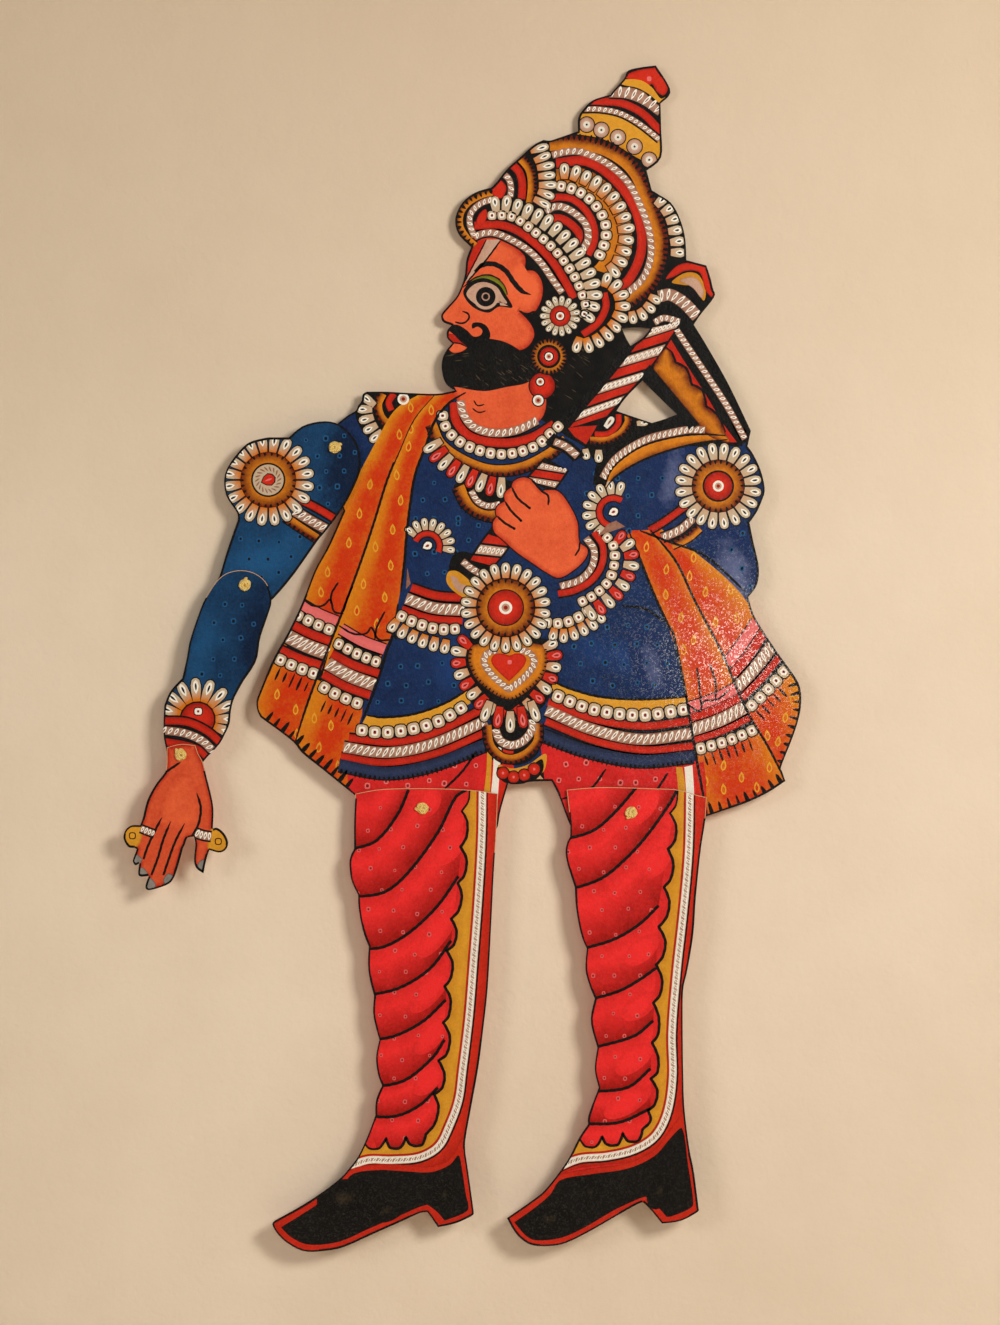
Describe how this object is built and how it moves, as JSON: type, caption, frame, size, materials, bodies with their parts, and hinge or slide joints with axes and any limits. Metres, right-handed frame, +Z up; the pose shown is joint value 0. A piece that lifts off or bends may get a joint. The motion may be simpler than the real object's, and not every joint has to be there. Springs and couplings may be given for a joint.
{
  "type": "jointed shadow puppet",
  "caption": "Flat jointed shadow puppet of painted hide: a crowned, bearded warrior in profile with an axe, its limbs tied on with knotted cord.",
  "frame": {"origin": "on the back face of the body sheet, which rests against the wall, level with the puppet's waist", "axes": "+X to the viewer's right, +Y into the wall, +Z up, so the figure's painted front looks along -Y"},
  "size_m": [0.5095, 0.0086, 0.8925],
  "materials": {
    "painted_hide": "thin translucent hide, inked black, semi gloss",
    "cotton_cord": "pale yellow cotton, matte",
    "paint_red": "red pigment on hide, semi gloss",
    "paint_orange": "orange pigment on hide, semi gloss",
    "paint_gold": "yellow ochre pigment on hide, semi gloss",
    "paint_blue": "dark blue pigment on hide, semi gloss",
    "paint_white": "bare pale hide and white pigment, semi gloss",
    "paint_pink": "pink pigment on hide, semi gloss",
    "paint_skin": "skin coloured pigment on hide, semi gloss",
    "paint_black": "black ink on hide, semi gloss"
  },
  "bodies": {
    "body": {"body_sheet": "painted_hide", "shoulder_knot": "cotton_cord", "front_hip_knot": "cotton_cord", "rear_hip_knot": "cotton_cord"},
    "upper_arm": {"upper_arm_sheet": "painted_hide", "elbow_knot": "cotton_cord"},
    "forearm": {"forearm_sheet": "painted_hide", "wrist_knot": "cotton_cord"},
    "hand": {"hand_sheet": "painted_hide"},
    "front_leg": {"front_leg_sheet": "painted_hide"},
    "rear_leg": {"rear_leg_sheet": "painted_hide"}
  },
  "joints": [
    {"name": "shoulder", "type": "hinge", "parent": "body", "child": "upper_arm", "pos_m": [-0.1245, 0, 0.0995], "axis": [0, 1, 0], "range_deg": [-80, 110]},
    {"name": "elbow", "type": "hinge", "parent": "upper_arm", "child": "forearm", "pos_m": [-0.192, 0, -0.004], "axis": [0, 1, 0], "range_deg": [-120, 120]},
    {"name": "wrist", "type": "hinge", "parent": "forearm", "child": "hand", "pos_m": [-0.24, 0, -0.1315], "axis": [0, 1, 0], "range_deg": [-60, 60]},
    {"name": "front_hip", "type": "hinge", "parent": "body", "child": "front_leg", "pos_m": [-0.0585, 0, -0.172], "axis": [0, 1, 0], "range_deg": [-40, 40]},
    {"name": "rear_hip", "type": "hinge", "parent": "body", "child": "rear_leg", "pos_m": [0.0985, 0, -0.175], "axis": [0, 1, 0], "range_deg": [-40, 40]}
  ]
}
